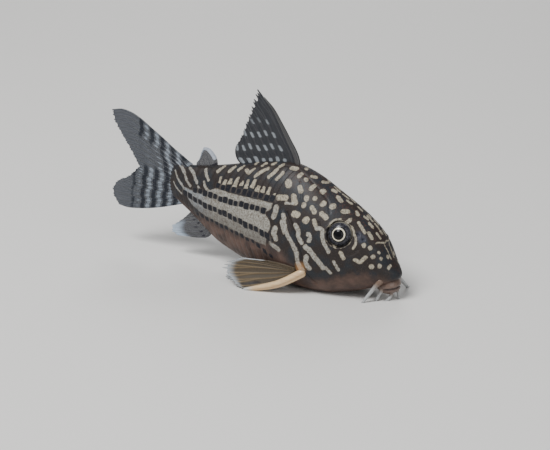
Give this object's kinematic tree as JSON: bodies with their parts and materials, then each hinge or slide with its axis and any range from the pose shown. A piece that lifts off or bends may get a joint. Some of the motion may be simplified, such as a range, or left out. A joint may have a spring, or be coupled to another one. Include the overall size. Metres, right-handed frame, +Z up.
{
  "type": "corydoras catfish",
  "caption": "Life-size small armoured catfish at rest on its belly, with raised back fin, spread side fins, short barbels and a forked tail.",
  "frame": {"origin": "middle of the underside of the whole fish's box, on the level of its flats", "axes": "+Z up, +X towards the snout, -Y out of the fish's right flank"},
  "size_m": [0.0648, 0.0212, 0.0358],
  "materials": {
    "skin": "wet scaly skin, dark grey-brown with cream spots and lines",
    "fin": "thin wet fin, grey with rows of dark spots",
    "spine": "smooth orange and cream fin spine",
    "eye": "clear wet eye, black pupil in a pale gold ring",
    "lips": "soft fleshy lips",
    "barbel": "soft pale feelers"
  },
  "bodies": {
    "root": {"head": "skin", "gill_cover_right": "skin", "gill_cover_left": "skin", "trunk_front": "skin", "trunk_rear": "skin", "tail_base": "skin", "eye_right": "eye", "eye_left": "eye", "mouth": "lips", "barbel_upper_right": "barbel", "barbel_lower_right": "barbel", "barbel_lip_right": "barbel", "barbel_upper_left": "barbel", "barbel_lower_left": "barbel", "barbel_lip_left": "barbel", "dorsal_spine": "fin", "dorsal_fin": "fin", "adipose_fin": "fin", "tail_fin_upper": "fin", "tail_fin_lower": "fin", "anal_fin": "fin", "pectoral_spine_right": "spine", "pectoral_fin_right": "fin", "pelvic_fin_right": "fin", "pectoral_spine_left": "spine", "pectoral_fin_left": "fin", "pelvic_fin_left": "fin"}
  },
  "joints": []
}
